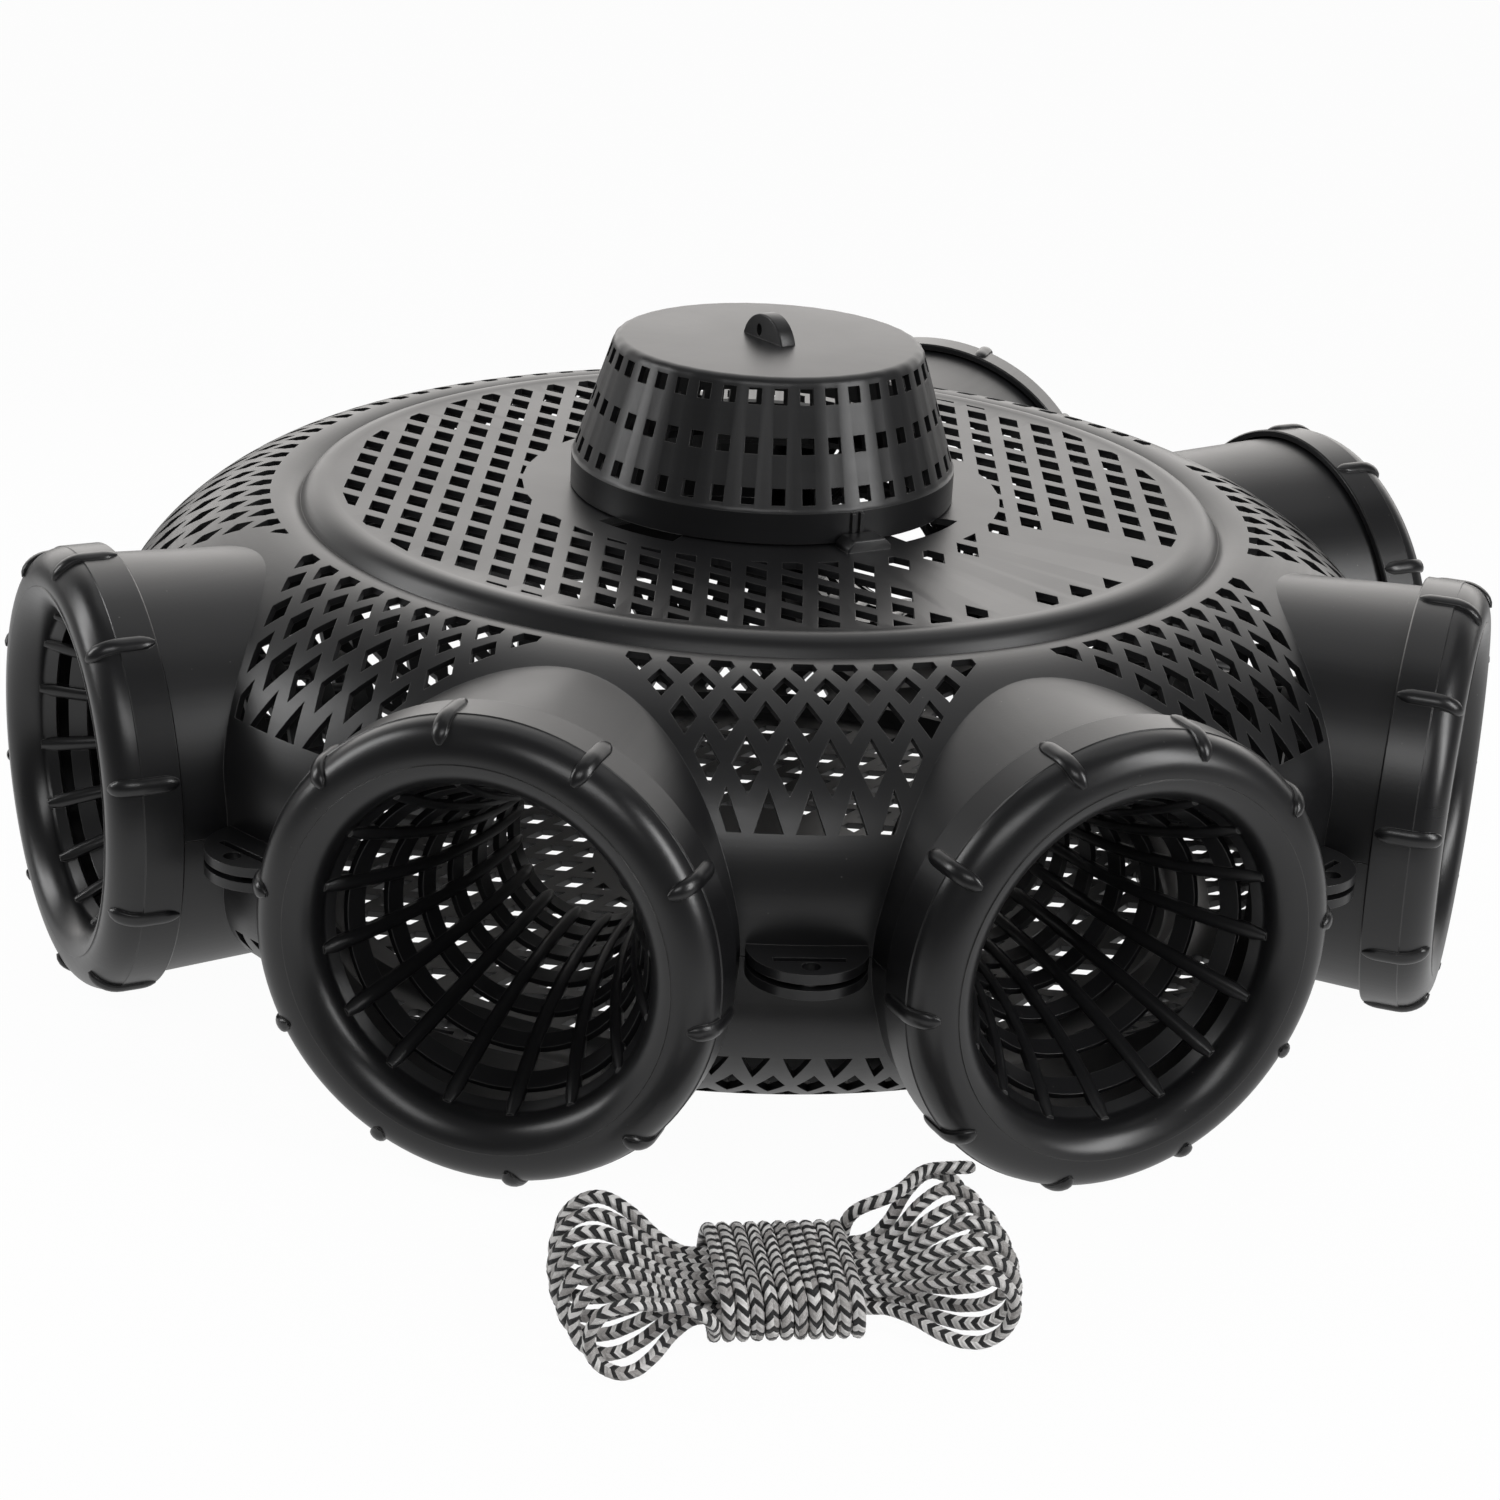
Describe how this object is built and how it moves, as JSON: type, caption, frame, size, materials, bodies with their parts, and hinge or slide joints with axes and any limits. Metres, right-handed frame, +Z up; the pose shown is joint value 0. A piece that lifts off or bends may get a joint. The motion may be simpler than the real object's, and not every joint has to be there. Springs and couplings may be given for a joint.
{
  "type": "crayfish trap",
  "caption": "Round black plastic crayfish trap: two lattice half shells, net-funnel entrances round the side, a turn-to-lock slotted bait cap on top and a hank of braided rope.",
  "frame": {"origin": "on the axis of the round body, at the floor it stands on (the underside of the lower shell)", "axes": "+Z up along the body's axis; -Y out of the front entrance; +X out of the right entrance"},
  "size_m": [0.4872, 0.5912, 0.2122],
  "materials": {
    "black_plastic": "satin injection-moulded black plastic, glossier at a low angle",
    "braided_rope": "braided polypropylene cord in black and light grey chevrons"
  },
  "bodies": {
    "trap": {"upper_shell": "black_plastic", "lower_shell": "black_plastic", "entrance_front": "black_plastic", "entrance_front_right": "black_plastic", "entrance_right": "black_plastic", "entrance_back_right": "black_plastic", "entrance_back": "black_plastic", "entrance_front_left": "black_plastic", "rope_hank": "braided_rope"},
    "cap": {"bait_cap": "black_plastic"}
  },
  "joints": [
    {"name": "cap_turn", "type": "hinge", "parent": "trap", "child": "cap", "pos_m": [0, 0, 0.1488], "axis": [0, 0, 1], "range_deg": [0, 26]}
  ]
}
